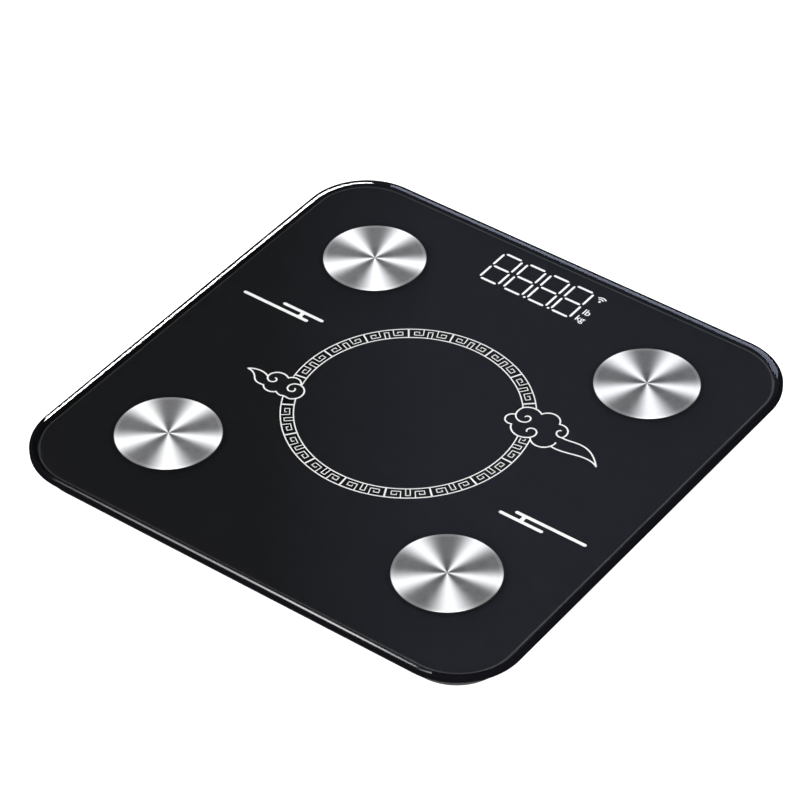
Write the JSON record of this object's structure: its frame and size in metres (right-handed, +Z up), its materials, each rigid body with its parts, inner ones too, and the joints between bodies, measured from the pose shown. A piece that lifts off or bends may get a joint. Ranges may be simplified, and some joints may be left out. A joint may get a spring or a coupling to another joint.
{
  "type": "digital bathroom scale",
  "caption": "Square glass weighing platform on a shallow plastic base, with steel contact discs, a digit display, load-cell feet, a unit button and a hinged battery door.",
  "frame": {"origin": "on the floor under the middle of the platform", "axes": "+Z up, +Y towards the edge with the display, +X to the right of a user who faces the display"},
  "size_m": [0.28, 0.28, 0.0234],
  "materials": {
    "clear_glass": "clear toughened glass with a polished round edge",
    "black_ink": "black ink printed on the back of the glass, with white line work",
    "smoked_window": "smoked film over the display",
    "stainless_disc": "stainless steel turned in fine rings",
    "black_glue": "black glue line",
    "foam_tape": "black foam tape",
    "base_plastic": "fine-grained black moulded plastic",
    "door_plastic": "fine-grained black moulded plastic",
    "foot_plastic": "smooth black moulded plastic",
    "foot_rubber": "grey non-slip rubber",
    "button_rubber": "soft grey button",
    "cell_steel": "nickel-plated spring steel",
    "gauge_coat": "white sealing coat",
    "bracket_plastic": "black moulded plastic",
    "screw_steel": "zinc-plated steel",
    "board_green": "green solder mask",
    "chip_black": "black package with tinned pins",
    "can_metal": "tinned shield can",
    "capacitor": "dark blue sleeve",
    "socket_plastic": "cream plug sockets",
    "display_block": "white light block",
    "diffuser_film": "milky film",
    "ribbon": "white flat cable",
    "wire_red": "insulated wire",
    "cable_grey": "insulated cable",
    "battery_sleeve": "plain printed sleeve with bare ends",
    "contact_nickel": "nickel-plated contact strip"
  },
  "bodies": {
    "scale_body": {"base_shell": "base_plastic", "battery_front": "battery_sleeve", "battery_leads": "wire_red", "battery_rear": "battery_sleeve", "board_capacitors": "capacitor", "board_connectors": "socket_plastic", "board_screws": "screw_steel", "bracket_screws": "screw_steel", "bracket_tape": "foam_tape", "cell_bracket_front_left": "bracket_plastic", "cell_bracket_front_right": "bracket_plastic", "cell_bracket_rear_left": "bracket_plastic", "cell_bracket_rear_right": "bracket_plastic", "cell_cable_front_left": "cable_grey", "cell_cable_front_right": "cable_grey", "cell_cable_rear_left": "cable_grey", "cell_cable_rear_right": "cable_grey", "contact_plates": "contact_nickel", "contact_springs": "contact_nickel", "disc_adhesive": "black_glue", "display_board": "board_green", "display_diffuser": "diffuser_film", "display_housing": "display_block", "display_ribbon": "ribbon", "display_screws": "screw_steel", "display_window": "smoked_window", "electrode_disc_front_left": "stainless_disc", "electrode_disc_front_right": "stainless_disc", "electrode_disc_rear_left": "stainless_disc", "electrode_disc_rear_right": "stainless_disc", "electrode_nuts": "screw_steel", "electrode_wire_front_left": "wire_red", "electrode_wire_front_right": "wire_red", "electrode_wire_rear_left": "wire_red", "electrode_wire_rear_right": "wire_red", "glass_platform": "clear_glass", "load_cell_front_left": "cell_steel", "load_cell_front_right": "cell_steel", "load_cell_rear_left": "cell_steel", "load_cell_rear_right": "cell_steel", "main_board": "board_green", "main_chip": "chip_black", "platform_tape": "foam_tape", "printed_backing": "black_ink", "ring_terminals": "contact_nickel", "strain_gauges": "gauge_coat", "unit_switch": "chip_black", "wireless_module": "can_metal"},
    "foot_front_left": {"foot_cup_front_left": "foot_plastic", "foot_pad_front_left": "foot_rubber"},
    "foot_front_right": {"foot_cup_front_right": "foot_plastic", "foot_pad_front_right": "foot_rubber"},
    "foot_rear_left": {"foot_cup_rear_left": "foot_plastic", "foot_pad_rear_left": "foot_rubber"},
    "foot_rear_right": {"foot_cup_rear_right": "foot_plastic", "foot_pad_rear_right": "foot_rubber"},
    "battery_door": {"battery_door": "door_plastic"},
    "unit_button": {"unit_button": "button_rubber", "unit_switch_stem": "chip_black"}
  },
  "joints": [
    {"name": "foot_press_front_left", "type": "slide", "parent": "scale_body", "child": "foot_front_left", "axis": [0, 0, 1], "range_m": [0, 0.0004], "stiffness_N_per_m": 1000000, "deforming": ["load_cell_front_left"]},
    {"name": "foot_press_front_right", "type": "slide", "parent": "scale_body", "child": "foot_front_right", "axis": [0, 0, 1], "range_m": [0, 0.0004], "stiffness_N_per_m": 1000000, "deforming": ["load_cell_front_right"]},
    {"name": "foot_press_rear_left", "type": "slide", "parent": "scale_body", "child": "foot_rear_left", "axis": [0, 0, 1], "range_m": [0, 0.0004], "stiffness_N_per_m": 1000000, "deforming": ["load_cell_rear_left"]},
    {"name": "foot_press_rear_right", "type": "slide", "parent": "scale_body", "child": "foot_rear_right", "axis": [0, 0, 1], "range_m": [0, 0.0004], "stiffness_N_per_m": 1000000, "deforming": ["load_cell_rear_right"]},
    {"name": "battery_door_hinge", "type": "hinge", "parent": "scale_body", "child": "battery_door", "pos_m": [0, -0.01465, 0.0035], "axis": [-1, 0, 0], "range_deg": [0, 80]},
    {"name": "unit_button_press", "type": "slide", "parent": "scale_body", "child": "unit_button", "axis": [0, 0, 1], "range_m": [0, 0.0004], "stiffness_N_per_m": 3000, "springref_m": -0.0004}
  ]
}
